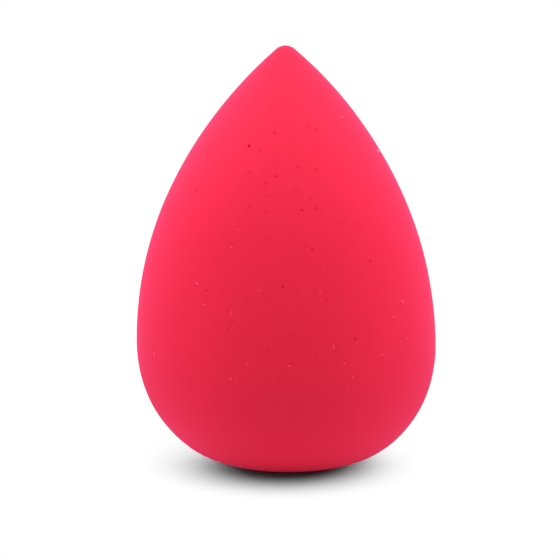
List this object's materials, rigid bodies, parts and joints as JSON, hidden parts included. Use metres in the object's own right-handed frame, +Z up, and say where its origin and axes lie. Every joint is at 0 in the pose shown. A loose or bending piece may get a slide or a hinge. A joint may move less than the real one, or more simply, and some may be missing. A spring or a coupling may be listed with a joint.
{
  "type": "makeup sponge",
  "caption": "Teardrop makeup sponge: a soft foam moulding with a rounded tip, a full belly and a small flat base, used damp to dab and blend cosmetics.",
  "frame": {"origin": "middle of the flat base, on the axis of the teardrop", "axes": "+Z up along the axis, from the base to the tip; X and Y lie in the base plane, in any direction, because the body is round"},
  "size_m": [0.043, 0.043, 0.06],
  "materials": {
    "foam": "matte"
  },
  "bodies": {
    "root": {"foam_body": "foam"}
  },
  "joints": []
}
